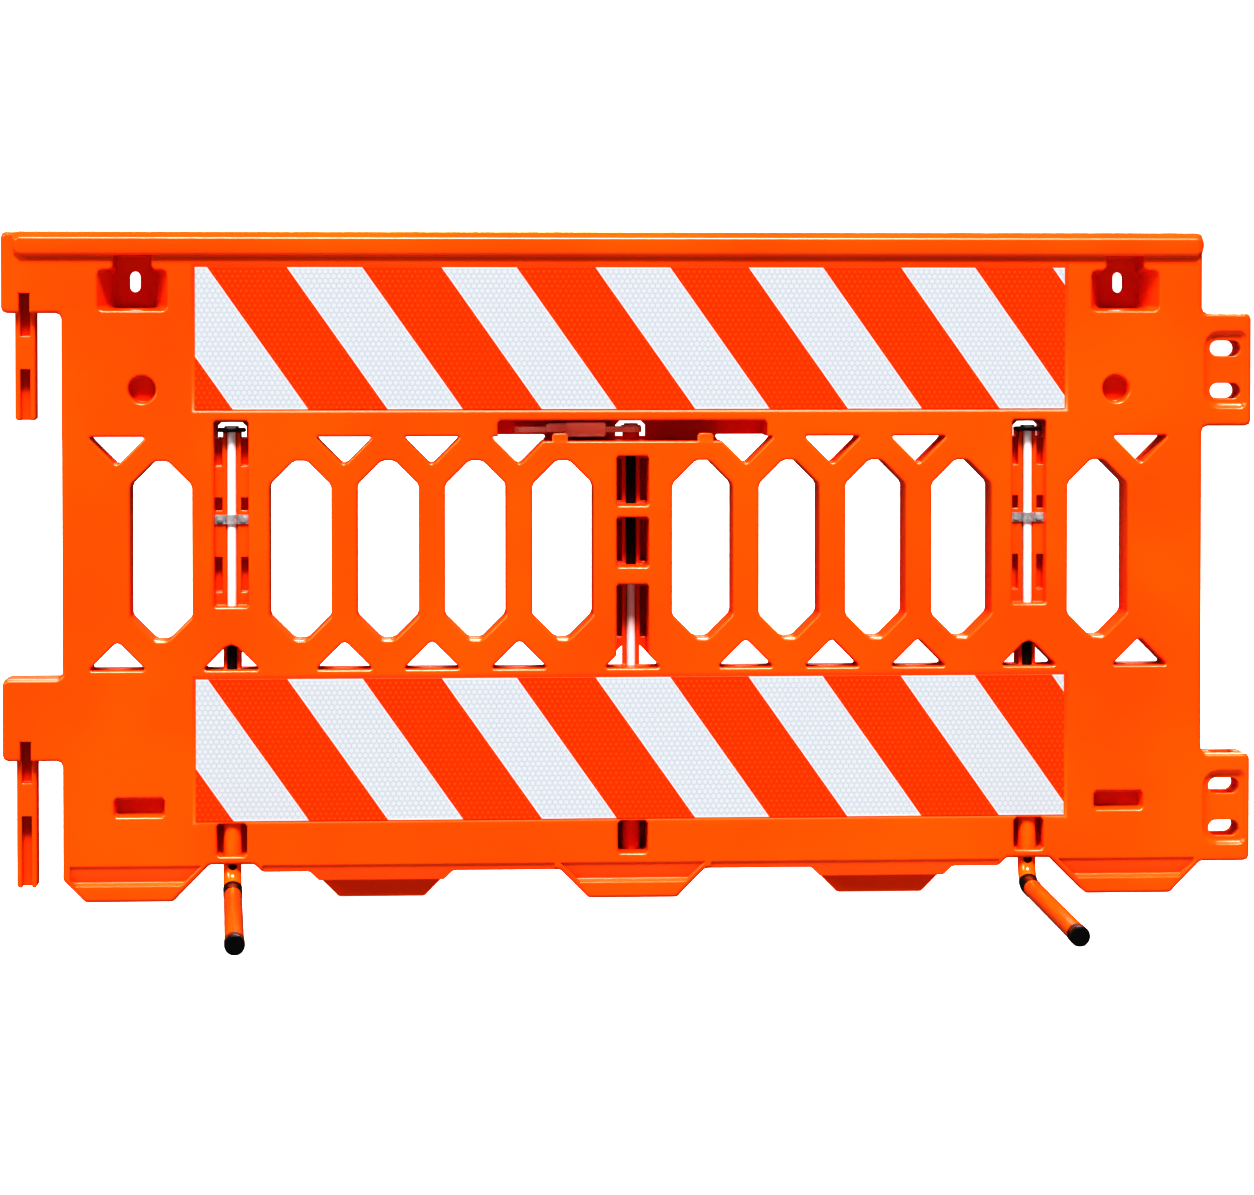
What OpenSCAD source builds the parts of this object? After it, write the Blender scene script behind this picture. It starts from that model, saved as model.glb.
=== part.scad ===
// Pedestrian barrier panel: a hollow-moulded board with a hand rail, striped reflective sheeting on
// both faces, three tube legs that swivel on vertical rods, a swing bar, and hinge posts and ears
// that link panels in a row. Sizes are in millimetres. X runs along the panel, Y points to its rear,
// and Z is up from the ground, with the origin under the middle rod.

/* [Panel] */
// Height from the ground to the top of the hand rail
panel_h = 934; // [780:1:1080]
// Length of the board from its left side to its right side
panel_l = 1600; // [1340:1:1860]
// How far the middle of the board lies to the right of the middle rod
side_offset = 6; // [0:1:10]
// Thickness of the moulded board
panel_t = 68; // [68:1:90]
// Rounding of the corners of the board's outline
corner_r = 8; // [8:0.5:12]
// Rounding of the board's outer edges
edge_soft = 6; // [3:0.5:6]
// Rounding of the edges of windows and pockets
mouth_soft = 4; // [2:0.5:5]

/* [Hand rail] */
// Height of the hand rail
rail_h = 34; // [30:1:38]
// How far the rail stands proud of each face
rail_proud = 9; // [6:1:12]
// Height and width of the slope at the top of the rail
rail_slope = 10; // [7:0.5:12]
// Rounding of the rail's lower edges
rail_r = 6; // [4:0.5:7]
// Rounding of the rail's ends
rail_end_r = 12; // [11:0.5:15]
// How far the rail starts in from the end of the upper arm
rail_in = 15; // [12:1:30]
// How far the rail runs past the right side of the board
rail_over = 2; // [1:0.5:6]
// How far the board's top stays below the top of the rail
rail_cover = 1; // [0.5:0.1:2]

/* [Bottom edge] */
// Height of the bottom edge above the ground
bottom_gap = 40; // [36:1:46]
// Height of the notch above each front leg
notch_h = 51; // [48:1:56]
// Half the width of the notch above each front leg
notch_half = 31; // [24:1:40]
// Bevel at the lower left corner of the board
left_bevel = 31; // [20:1:40]
// Half the width of the middle skirt where it meets the ground
mid_foot = 62; // [50:1:75]
// Distance from the middle to the near end of each rear skirt, as a share of the length
rear_foot_share = 0.1825; // [0.178:0.0005:0.194]
// Width of each rear skirt on the ground, as a share of the length
rear_foot_w_share = 0.075; // [0.056:0.001:0.081]
// Set-back of the rear skirts from the middle plane
rear_set = 3; // [2.5:0.5:8]
// Depth of the groove along the skirts
groove_d = 8; // [4:1:12]
// Depth of the step at the top of the groove
groove_step = 2; // [1:0.5:3]
// Height of the sloped face above the groove's deepest line
groove_rise = 23; // [14:1:24]
// Height of the ledge below the groove's deepest line
groove_ledge = 5; // [4:0.5:12]

/* [Hinge ends] */
// Reach of the left arms beyond the board
arm_reach = 83; // [75:1:95]
// Height of the upper arm, from its bottom to the top of the rail
upper_arm_h = 114; // [100:1:125]
// Height of the lower arm's bottom above the ground
lower_seat = 197; // [190:1:205]
// Height of the lower arm
lower_arm_h = 115; // [90:1:125]
// Width of a hinge post
post_w = 28; // [24:1:32]
// Depth of a hinge post from front to rear
post_d = 34; // [28:1:38]
// Distance from the left side of the board to the posts' centre line
post_out = 51; // [46:1:58]
// Length of the upper post below its arm
upper_post = 149; // [120:1:155]
// Length of the lower post below its arm
lower_post = 178; // [150:1:185]
// Width of the channel in the front of a post
channel_w = 14; // [10:1:16]
// Depth of the channel in the front of a post
channel_d = 22; // [14:1:24]
// How far the channel runs up into the arm
channel_up = 27; // [18:1:36]
// Height of the cross web in the channel
web_h = 46; // [30:1:60]
// Distance from the bottom of the arm down to the cross web
web_drop = 32; // [24:1:40]
// Reach of the right ears beyond the board
ear_reach = 70; // [66:1:85]
// Height of the upper ear
upper_ear_h = 159; // [150:1:170]
// Height of the lower ear
lower_ear_h = 153; // [146:1:160]
// Distance from the right side of the board to the sockets' centre line
socket_out = 34; // [32:1:40]
// Clearance around a post in a socket
socket_gap = 2; // [1:0.5:3]
// Depth of the recess on each face of an ear
ear_pocket_d = 8; // [4:1:10]
// Draft of the walls of that recess
ear_draft = 6; // [1:0.5:7]
// Length of the slots through an ear
ear_slot_l = 44; // [36:1:50]
// Height of the slots through an ear
ear_slot_h = 22; // [14:1:24]
// Distance between the two slots of an ear
ear_slot_pitch = 60; // [50:1:66]

/* [Windows] */
// Distance from the middle to the first window of each group, as a share of the length
win_first_share = 0.06125; // [0.0565:0.0005:0.065]
// Spacing of the windows in a group, as a share of the length
win_pitch_share = 0.07625; // [0.074:0.00025:0.0775]
// Distance from the middle to the outer windows, as a share of the length
win_outer_share = 0.4106; // [0.4065:0.0005:0.415]
// Width of the board left between two windows of a group
win_web = 37; // [30:1:48]
// Width of the flat at the top and bottom of a window
win_flat = 18; // [12:1:30]
// Width of the triangular holes
tri_w = 80; // [60:1:84]
// Height of the triangular holes
tri_h = 40; // [30:1:42]
// Rounding of the two corners at the base of a triangle
tri_base_r = 2; // [1:0.5:4]
// Rounding of the point of a triangle
tri_tip_r = 6; // [2:0.5:8]
// Rounding of the point of a triangle that a rod crosses
rod_tip_r = 12; // [8:0.5:14]
// Distance from the head of the rod windows down to the base of the upper triangles
tri_drop = 22; // [19:1:26]
// Distance from the base of the upper triangles down to the windows
win_drop = 34; // [28:1:40]
// Distance from the base of the lower triangles up to the windows
win_lift = 41; // [34:1:48]

/* [Sheeting] */
// Width of a reflective sheet, as a share of the length
sheet_w_share = 0.762; // [0.69:0.001:0.766]
// Height of a reflective sheet, as a share of the panel's height
sheet_h_share = 0.212; // [0.165:0.001:0.216]
// Height of the middle of the upper sheets, as a share of the panel's height
upper_sheet_share = 0.8405; // [0.838:0.0005:0.843]
// Height of the middle of the lower sheets, as a share of the panel's height
lower_sheet_share = 0.2259; // [0.2225:0.0005:0.2295]
// Depth of the recess that holds a sheet
sheet_sink = 2; // [1.5:0.1:3]
// Width of the sloped border of the recess
sheet_border = 4; // [2:0.5:5]
// Clearance between a sheet and its recess
sheet_gap = 1; // [0.5:0.1:2]
// Thickness of the white sheeting
film_t = 0.8; // [0.4:0.1:1]
// Thickness of the orange overlay stripes
overlay_t = 0.3; // [0.2:0.05:0.4]
// Spacing of the stripes along the sheet
stripe_pitch = 215; // [180:1:260]
// Width of an orange stripe along the sheet
stripe_w = 110; // [80:1:140]
// Sideways run of a stripe from the top of the sheet to its bottom
stripe_run = 140; // [90:1:200]
// Distance from the left end of the sheet to the first full stripe
stripe_start = 17; // [0:1:60]

/* [Pivot rods] */
// Distance from the middle to the two front pivot rods, as a share of the length
leg_share = 0.35; // [0.347:0.0005:0.353]
// Width of the face left between a sheet's recess and the rod windows
head_lip = 7; // [5:0.5:9]
// Diameter of a pivot rod
rod_d = 12.7; // [10:0.1:14]
// Clearance around turning rods and tubes
swivel_gap = 0.5; // [0.3:0.05:0.8]
// Half the gap between a folded front leg and the folded rear leg
fold_gap = 1.8; // [1.6:0.1:3]
// Diameter of the discs at the top of the front rods
washer_d = 40; // [30:1:42]
// Thickness of those discs
washer_t = 5.5; // [3:0.5:6]
// Diameter of the thin washer at the top of the middle rod
mid_washer_d = 28; // [22:1:32]
// Thickness of that washer
mid_washer_t = 1.5; // [1:0.1:2]
// Clearance around a disc in the opening that holds it
washer_gap = 1; // [0.5:0.1:1.5]
// Width of the flat nut across its corners
nut_d = 20; // [18:1:22]
// Height of the flat nut
nut_h = 2.5; // [1.5:0.1:3]
// Width of the plate-like column behind a rod
column_w = 24; // [20:1:26]
// Width of a front rod window
rod_win_w = 48; // [46:1:56]
// Width of a middle rod window
mid_win_w = 45; // [42:1:52]
// Distance from the bottom of the windows up to the bottom of the front rod windows
rod_win_lift = 47; // [40:1:56]
// Distance from the bar recess down to the first middle rod window, as a share of the drop to the triangles
mid_drop_share = 0.066; // [0.056:0.001:0.075]
// Height of the upper two middle rod windows, as a share of the same drop
mid_win_share = 0.217; // [0.175:0.001:0.22]
// Distance between the upper two middle rod windows, as a share of the same drop
mid_gap_share = 0.0535; // [0.038:0.0005:0.056]
// Height of the lowest middle rod window, as a share of the same drop
low_win_share = 0.368; // [0.28:0.001:0.37]
// Height left for the disc and nut above the column
head_room = 16; // [13:1:18]
// Height and width of the bevels at the top of the opening that holds a disc
head_bevel = 6; // [3:0.5:7]
// How far the top of that opening stays below the head of the window
head_drop = 2; // [1:0.5:3]
// Depth of the pockets beside a rod, measured from the rod's centre
side_pocket_d = 17; // [10:1:18]
// Height of the strap in its rod window, as a share of the window's height
strap_share = 0.468; // [0.43:0.001:0.5]
// Width of the strap along the rod
strap_h = 13; // [10:1:18]
// Thickness of the strap
strap_t = 2.5; // [1.5:0.1:3]
// Diameter of the strap screws
screw_d = 4; // [3:0.5:5]
// Length of the strap screws
screw_l = 16; // [10:1:20]

/* [Legs] */
// Diameter of a leg tube
tube_d = 25.4; // [22:0.1:25.5]
// Wall of a leg tube
tube_wall = 2; // [1.5:0.1:2.5]
// Radius of the bend in a leg tube, at its centre line
bend_r = 32; // [28:1:34]
// Reach of a front leg from its rod to its tip, as a share of the length
reach_share = 0.2856; // [0.2:0.0005:0.287]
// Reach of the rear leg from its rod to its tip
rear_reach = 250; // [180:1:252]
// Height of the top of the leg tubes
tube_top = 205; // [180:1:225]
// Diameter of the hole in the front of a leg tube, above its bend
peep_d = 12; // [6:1:14]
// Wall of the black sleeve on the bend
sleeve_t = 0.6; // [0.4:0.05:0.7]
// Angle of the bend that the sleeve covers
sleeve_angle = 30; // [15:1:45]
// How far the sleeve runs on past the bend
sleeve_l = 28; // [15:1:40]
// Diameter of an end cap
cap_d = 27; // [27:0.1:28]
// Length of an end cap
cap_l = 24; // [16:1:34]
// Thickness of the end of a cap
cap_end = 3; // [2:0.5:5]
// Turn of the left leg inwards from straight ahead
left_turn = 3; // [0:0.5:10]
// Turn of the right leg inwards from straight ahead
right_turn = 1; // [0:0.5:10]
// Length of the plug between a rod and its tube
plug_l = 40; // [30:1:60]
// Diameter of the cross pin
pin_d = 6; // [4:0.5:7]
// Clearance between pieces that are fixed together
fixed_gap = 0.05; // [0.02:0.01:0.1]
// Width of the pocket that shows each leg tube
leg_pocket_w = 42; // [36:1:48]
// Height of the bottom of that pocket above the ground
leg_pocket_z = 63; // [60:1:66]

/* [Swing bar] */
// Half the length of the bar's recess, as a share of the length
recess_share = 0.1181; // [0.116:0.0005:0.1215]
// Gap between the tip of the bar and the end of its recess
bar_end_gap = 24; // [10:1:40]
// Width of the swing bar
bar_w = 22; // [16:1:24]
// Thickness of the swing bar
bar_t = 8; // [5:0.5:9]
// Diameter of the eye of the swing bar
eye_d = 30; // [26:1:31]
// Height of the bar's recess
bar_recess_h = 29; // [29:1:33]
// Thickness of the wall behind the bar's recess
bar_wall = 2; // [1.5:0.1:2.2]
// Distance from the middle to the two stop pegs, as a share of the length
peg_share = 0.0638; // [0.061:0.0005:0.065]
// Width of a stop peg
peg_w = 22; // [14:1:24]
// Depth of a stop peg
peg_d = 11; // [8:1:12]
// Height of a stop peg
peg_h = 11; // [8:1:12]
// Distance from the pivot to the near end of the grip
grip_in = 36; // [32:1:44]
// Gap between the swinging grip and a stop peg
grip_gap = 4.4; // [4:0.1:12]
// Length by which the upper part of the grip runs on
grip_tail = 26; // [10:1:30]
// Width of the grip
grip_w = 28; // [25:1:30]
// Thickness of the grip above and below the bar
grip_t = 6.5; // [4:0.5:7]
// Clearance between turning pieces that rest on each other
rest_gap = 0.4; // [0.3:0.05:0.5]

/* [Pockets] */
// Distance from the middle to the two lamp pockets, as a share of the length
lamp_share = 0.435; // [0.432:0.0005:0.439]
// Width of a lamp pocket
lamp_w = 96; // [80:1:100]
// Width of the neck of a lamp pocket
lamp_neck_w = 52; // [48:1:60]
// Distance from the top of the rail down to the bottom of a lamp pocket
lamp_drop = 110; // [108:1:116]
// Height of the wide part of a lamp pocket
lamp_h = 56; // [50:1:58]
// Thickness of the wall behind a lamp pocket
lamp_wall = 10; // [6:1:20]
// Draft of the lamp pocket's side walls from mouth to floor
lamp_draft = 19; // [12:1:20]
// Draft of the lamp pocket's bottom and shoulders
lamp_rise = 4; // [2:0.5:6]
// Rounding of the lamp pocket's corners
lamp_r = 7; // [4:0.5:9]
// Distance from the bottom of a lamp pocket up to the middle of its slot
lamp_slot_up = 40; // [36:1:42]
// Width of the lamp slot
lamp_slot_w = 15; // [10:1:17]
// Height of the lamp slot
lamp_slot_h = 29; // [20:1:32]
// Distance from the middle to the two round dimples, as a share of the length
dimple_share = 0.4269; // [0.423:0.0005:0.431]
// Height of the round dimples, as a share of the panel's height
dimple_z_share = 0.7645; // [0.755:0.0005:0.77]
// Diameter of a round dimple below its rounded mouth
dimple_d = 38; // [30:1:42]
// Diameter of a round dimple at its floor
dimple_floor_d = 36; // [24:1:40]
// Depth of a dimple
dimple_depth = 24; // [12:1:40]
// Distance from the middle to the two oblong dimples, as a share of the length
oblong_share = 0.43; // [0.426:0.0005:0.434]
// Height of the oblong dimples, as a share of the panel's height
oblong_z_share = 0.1413; // [0.133:0.0005:0.15]
// Width of an oblong dimple
oblong_w = 70; // [50:1:76]
// Height of an oblong dimple
oblong_h = 26; // [18:1:30]

/* [Hidden] */
$fn = 48;
eps = 1;
over = 0.5;
front = -panel_t / 2;
rear = panel_t / 2;
left_half = panel_l / 2 - side_offset;
right_half = panel_l / 2 + side_offset;
leg_x = leg_share * panel_l;
win_first = win_first_share * panel_l;
win_pitch = win_pitch_share * panel_l;
win_outer = win_outer_share * panel_l;
win_w = win_pitch - win_web;
lamp_x = lamp_share * panel_l;
dimple_x = dimple_share * panel_l;
oblong_x = oblong_share * panel_l;
rear_foot_in = rear_foot_share * panel_l;
rear_foot_out = rear_foot_in + rear_foot_w_share * panel_l;
sheet_w = sheet_w_share * panel_l;
sheet_h = sheet_h_share * panel_h;
upper_sheet_z = upper_sheet_share * panel_h;
lower_sheet_z = lower_sheet_share * panel_h;
sheet_edge = sheet_h / 2 + sheet_gap + sheet_border;
dimple_z = dimple_z_share * panel_h;
oblong_z = oblong_z_share * panel_h;
arm_x = left_half + arm_reach;
ear_x = right_half + ear_reach;
post_x = left_half + post_out;
socket_x = right_half + socket_out;
upper_seat = panel_h - upper_arm_h;
upper_ear_z = upper_seat - upper_ear_h;
lower_ear_z = lower_seat - lower_ear_h;
body_top = panel_h - rail_cover;
axis_z = cap_d / 2;
rod_y = tube_d / 2 + fold_gap;
groove_z = axis_z + tube_d / 2 + 2 * rest_gap;
notch_out = leg_x + notch_half;
notch_in = leg_x - notch_half;
notch_step = notch_h - bottom_gap;
head_z = upper_sheet_z - sheet_edge - head_lip - mouth_soft;
tri_base = head_z - tri_drop;
tri_low = lower_sheet_z + sheet_edge + 2 * mouth_soft;
win_top = tri_base - win_drop;
win_low = tri_low + win_lift;
rod_win_low = win_low + rod_win_lift;
rod_win_h = head_z - rod_win_low;
strap_z = rod_win_low + strap_share * rod_win_h;
shelf_z = head_z - head_room;
bar_floor = head_z - bar_recess_h;
bar_z = bar_floor + peg_h + rest_gap;
bar_recess_half = recess_share * panel_l;
bar_l = bar_recess_half - bar_end_gap;
peg_x = peg_share * panel_l;
grip_out = norm([peg_x - peg_w / 2, rod_y - front - peg_d]) - grip_gap;
mid_drop = bar_floor - tri_low;
mid_win_h = mid_win_share * mid_drop;
mid_win_top = bar_floor - mid_drop_share * mid_drop;
mid_win_pitch = (mid_win_share + mid_gap_share) * mid_drop;
low_win_top = tri_low + low_win_share * mid_drop;
leg_pocket_top = lower_sheet_z - sheet_edge + eps;
front_reach = reach_share * panel_l;
plug_z = tube_top - plug_l;
pin_z = tube_top - plug_l / 2;
group_x = [for (i = [0:3]) win_first + i * win_pitch];
tri_x = [for (i = [0:2]) win_first + (i + 0.5) * win_pitch];
tri_outer = win_outer + win_pitch / 2;
screw_x = (rod_d / 2 + swivel_gap + strap_t + rod_win_w / 2 - 1) / 2;
side_washer_z = shelf_z + rest_gap;
side_nut_z = side_washer_z + washer_t;
side_rod_top = side_nut_z + nut_h;
mid_washer_z = bar_z + bar_t + rest_gap;
mid_nut_z = mid_washer_z + mid_washer_t;
mid_rod_top = mid_nut_z + nut_h;
orange = "#ff5a0a";
stripe_orange = "#ff3b00";
film_white = "#e9eef4";
zinc = "#b9bcbf";
black = "#17181a";

// Outlines are lists of [x, z] points, anticlockwise as seen from the front
function unit(v) = v / norm(v);
function edge_normal(a, b) = let (d = unit(b - a)) [d[1], -d[0]];
function wrap(turn) = turn > 180 ? turn - 360 : turn < -180 ? turn + 360 : turn;
function box_pts(x0, x1, z0, z1) = [[x0, z0], [x1, z0], [x1, z1], [x0, z1]];

// A point of outline p, moved out square to its two edges by o
function offset_point(p, i, o) =
    let (n = len(p))
    let (n1 = edge_normal(p[(i + n - 1) % n], p[i]))
    let (n2 = edge_normal(p[i], p[(i + 1) % n]))
    p[i] + o * (n1 + n2) / (1 + n1 * n2);

// The arc that rounds corner p between its neighbours a and b, limited by the shorter edge
function corner_arc(a, p, b, r, steps) =
    let (u = unit(a - p), v = unit(b - p))
    let (half = acos(u * v) / 2)
    let (run = min(r / tan(half), 0.45 * min(norm(a - p), norm(b - p))))
    let (arc_r = run * tan(half))
    let (c = p + unit(u + v) * arc_r / sin(half))
    let (s = p + u * run - c, e = p + v * run - c)
    let (a0 = atan2(s[1], s[0]))
    let (turn = wrap(atan2(e[1], e[0]) - a0))
    [for (k = [0:steps]) c + arc_r * [cos(a0 + turn * k / steps), sin(a0 + turn * k / steps)]];

function rounded(p, r, steps = 2) =
    let (n = len(p))
    [for (i = [0:n - 1])
        each corner_arc(p[(i + n - 1) % n], p[i], p[(i + 1) % n], is_list(r) ? r[i] : r, steps)];

// Rounded edges follow a quarter circle in two flat steps, which meet at this share of the radius
soft_k = 1 - cos(45);
soft_run = over / tan(22.5);

// Stations [y, offset] of a solid from y0 to y1 whose end edges are rounded by e
function solid_stations(y0, y1, e) =
    [[y0, -e], [y0 + soft_k * e, -soft_k * e], [y0 + e, 0],
     [y1 - e, 0], [y1 - soft_k * e, -soft_k * e], [y1, -e]];

// Stations of a rounded mouth in the front face, starting a little before the face
function mouth_stations(e) =
    [[front - over, e + soft_run], [front + soft_k * e, soft_k * e], [front + e, 0]];

// Stations of a pocket from the front face to depth y1, with a rounded mouth and drafted walls
function pocket_stations(y1, draft) = concat(mouth_stations(mouth_soft), [[y1, -draft]]);

// The points of outline p at a station [y, offset]
function ring(p, s) =
    [for (i = [0:len(p) - 1]) let (q = offset_point(p, i, s[1])) [q[0], s[0], q[1]]];

// A solid through rings of points, each seen whole from its own first point
module skin(rings) {
    n = len(rings[0]);
    m = len(rings);
    near_cap = [0, each [for (i = [n - 1:-1:1]) i]];
    far_cap = [for (i = [0:n - 1]) (m - 1) * n + i];
    sides = [for (k = [0:m - 2]) for (i = [0:n - 1])
        [k * n + i, k * n + (i + 1) % n, (k + 1) * n + (i + 1) % n, (k + 1) * n + i]];
    polyhedron([for (r = rings) each r], concat([near_cap], sides, [far_cap]));
}

// A solid through copies of outline p, one for each station
module loft(p, stations) {
    skin([for (s = stations) ring(p, s)]);
}

// A hole through the board along outline p, with both mouths rounded
module soft_hole(p) {
    half = mouth_stations(mouth_soft);
    loft(p, concat(half, [for (i = [len(half) - 1:-1:0]) [-half[i][0], half[i][1]]]));
}

// The ring that rounds the front edge of a board with outline p
module edge_ring(p, e) {
    n = len(p);
    section = [[front - over, over], [front + e + soft_run, over],
               [front + soft_k * e, -soft_k * e], [front - over, -e - soft_run]];
    points = [for (s = section) for (i = [0:n - 1])
        let (q = offset_point(p, i, s[1])) [q[0], s[0], q[1]]];
    polyhedron(points, [for (k = [0:3]) for (i = [0:n - 1])
        [k * n + i, k * n + (i + 1) % n, (k + 1) % 4 * n + (i + 1) % n, (k + 1) % 4 * n + i]]);
}

module both_sides() {
    children();
    mirror([1, 0, 0]) children();
}

module both_faces() {
    children();
    mirror([0, 1, 0]) children();
}

// A plain block between two corners
module block(lo, hi) {
    translate(lo) cube(hi - lo);
}

// A slot with round ends through the board along Y, long side along X
module slot_through(x, z, l, h) {
    translate([x, front - eps, z])
        rotate([-90, 0, 0])
        linear_extrude(panel_t + 2 * eps)
        union() {
            square([l - h, h], center = true);
            translate([(l - h) / 2, 0]) circle(d = h);
            translate([(h - l) / 2, 0]) circle(d = h);
        }
}

// Outline of the board with its arms, ears, skirts and notches
function board_outline() = [
    [-arm_x, body_top], [-arm_x, upper_seat], [-left_half, upper_seat],
    [-left_half, lower_seat + lower_arm_h], [-arm_x, lower_seat + lower_arm_h],
    [-arm_x, lower_seat], [-left_half, lower_seat],
    [-left_half, left_bevel], [left_bevel - left_half, 0], [-notch_out - notch_h, 0],
    each [for (s = bottom_steps()) [-s[0], s[1]]],
    each [for (i = [len(bottom_steps()) - 1:-1:0]) bottom_steps()[i]],
    [notch_out + notch_h, 0], [right_half - lower_ear_z, 0], [right_half, lower_ear_z],
    [ear_x, lower_ear_z], [ear_x, lower_seat], [right_half, lower_seat],
    [right_half, upper_ear_z], [ear_x, upper_ear_z], [ear_x, upper_seat],
    [right_half, upper_seat], [right_half, body_top]
];

// The bottom edge from a front leg's notch to the middle skirt
function bottom_steps() = [
    [notch_out, notch_h], [notch_in, notch_h], [notch_in - notch_step, bottom_gap],
    [rear_foot_out + bottom_gap, bottom_gap], [rear_foot_out, 0], [rear_foot_in, 0],
    [rear_foot_in - bottom_gap, bottom_gap], [mid_foot + bottom_gap, bottom_gap], [mid_foot, 0]
];

module board() {
    outline = rounded(board_outline(), corner_r);
    difference() {
        translate([0, rear, 0]) rotate([90, 0, 0]) linear_extrude(panel_t) polygon(outline);
        both_faces() edge_ring(outline, edge_soft);
    }
}

module hand_rail() {
    half = panel_t / 2 + rail_proud;
    z0 = panel_h - rail_h;
    z1 = panel_h - rail_slope;
    top = half - rail_slope;
    profile = [[-half, z0], [half, z0], [half, z1], [top, panel_h], [-top, panel_h], [-half, z1]];
    slope_r = rail_slope / 2;
    radii = [rail_r, rail_r, slope_r, slope_r, slope_r, slope_r];
    stations = solid_stations(rail_in - arm_x, right_half + rail_over, rail_end_r);
    rotate([0, 0, -90])
        skin([for (s = stations)
            let (drawn_in = [for (i = [0:len(profile) - 1]) offset_point(profile, i, s[1])])
            ring(rounded(drawn_in, radii), [s[0], 0])]);
}

function window_outline(x) =
    let (half = win_w / 2, flat = win_flat / 2, cut = (win_w - win_flat) / 2)
    rounded([
        [x - flat, win_low], [x + flat, win_low], [x + half, win_low + cut], [x + half, win_top - cut],
        [x + flat, win_top], [x - flat, win_top], [x - half, win_top - cut], [x - half, win_low + cut]
    ], corner_r, 1);

// Triangle on a level base at z, with its point up for a positive rise and down for a negative one
function triangle_outline(x, z, rise, tip_r = tri_tip_r) =
    let (base = [[x - tri_w / 2, z], [x + tri_w / 2, z]])
    rounded(rise > 0
        ? [base[0], base[1], [x, z + rise]]
        : [base[1], base[0], [x, z + rise]], [tri_base_r, tri_base_r, tip_r]);

module windows() {
    both_sides() {
        for (x = concat(group_x, [win_outer])) soft_hole(window_outline(x));
        for (x = concat(tri_x, [tri_outer])) {
            soft_hole(triangle_outline(x, tri_base, -tri_h));
            soft_hole(triangle_outline(x, tri_low, tri_h));
        }
        rod_triangle(leg_x, -rod_y);
    }
    rod_triangle(0, rod_y);
}

// A triangular hole that a rod crosses, with the column that backs the rod left standing in it
module rod_triangle(x, y) {
    difference() {
        soft_hole(triangle_outline(x, tri_low, tri_h, rod_tip_r));
        block([x - column_w / 2, y, 0], [x + column_w / 2, rear - edge_soft, panel_h]);
    }
}

// A hinge post under an arm whose bottom is at height seat
module hinge_post(seat, l) {
    half_w = post_w / 2;
    half_d = post_d / 2;
    sides = box_pts(-post_x - half_w, -post_x + half_w, seat - l, seat + channel_up + corner_r);
    loft(rounded(sides, 3, 1), [[-half_d, -2], [2 - half_d, 0], [half_d - 2, 0], [half_d, -2]]);
}

// The channel in the front of a post, broken by its cross web
module post_channel(seat, l) {
    y0 = -post_d / 2 - eps;
    y1 = -post_d / 2 + channel_d;
    x0 = -post_x - channel_w / 2;
    x1 = -post_x + channel_w / 2;
    block([x0, y0, seat - l - eps], [x1, y1, seat - web_drop - web_h]);
    block([x0, y0, seat - web_drop], [x1, y1, seat + channel_up]);
    loft(box_pts(x0, x1, seat - 2 * edge_soft, seat + channel_up), pocket_stations(y1, 0));
}

// The cuts of an ear that stands from height z0 to z1: post socket, face recesses and slots
module ear_cuts(z0, z1) {
    half_w = post_w / 2 + socket_gap;
    half_d = post_d / 2 + socket_gap;
    mid = (z0 + z1) / 2;
    inset = (z1 - z0) / 6;
    block([socket_x - half_w, -half_d, z0 - eps], [socket_x + half_w, half_d, z1 + eps]);
    recess = box_pts(right_half + mouth_soft, ear_x - 2 * mouth_soft, z0 + inset, z1 - inset);
    both_faces()
        loft(rounded(recess, [20, 8, 8, 20], 3), pocket_stations(front + ear_pocket_d, ear_draft));
    for (s = [-1, 1])
        slot_through(socket_x, mid + s * ear_slot_pitch / 2, ear_slot_l, ear_slot_h);
}

module sheet_recess(z) {
    half_w = sheet_w / 2 + sheet_gap;
    half_h = sheet_h / 2 + sheet_gap;
    mouth = sheet_border * (1 + over / sheet_sink);
    outline = box_pts(-half_w, half_w, z - half_h, z + half_h);
    both_faces() loft(outline, [[front - over, mouth], [front + sheet_sink, 0]]);
}

// Outline of a lamp pocket and its neck, drawn in by draft at the sides and by rise below and above
function lamp_outline(draft, rise) =
    let (w = lamp_w / 2 - draft, neck = min(lamp_neck_w / 2, w - eps))
    let (z0 = panel_h - lamp_drop + rise, z1 = panel_h - lamp_drop + lamp_h - rise)
    let (z2 = panel_h - rail_h / 2, neck_r = mouth_soft + soft_run + 2 * eps)
    let (half = [[w, z0], [w, z1], [neck, z1], [neck, z2]])
    let (other = [for (i = [3:-1:0]) [-half[i][0], half[i][1]]])
    let (radii = [lamp_r, lamp_r, neck_r, 1, 1, neck_r, lamp_r, lamp_r])
    concat([[0, z0]], rounded(concat(half, other), radii));

module lamp_pocket() {
    mouth = lamp_outline(0, 0);
    rings = [for (s = mouth_stations(mouth_soft)) ring(mouth, s)];
    floor_ring = ring(lamp_outline(lamp_draft, lamp_rise), [rear - lamp_wall, 0]);
    translate([lamp_x, 0, 0]) skin(concat(rings, [floor_ring]));
    translate([lamp_x, 0, panel_h - lamp_drop + lamp_slot_up])
        rotate([-90, 90, 0])
        linear_extrude(rear + eps)
        union() {
            square([lamp_slot_h - lamp_slot_w, lamp_slot_w], center = true);
            translate([(lamp_slot_h - lamp_slot_w) / 2, 0]) circle(d = lamp_slot_w);
            translate([(lamp_slot_w - lamp_slot_h) / 2, 0]) circle(d = lamp_slot_w);
        }
}

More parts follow.
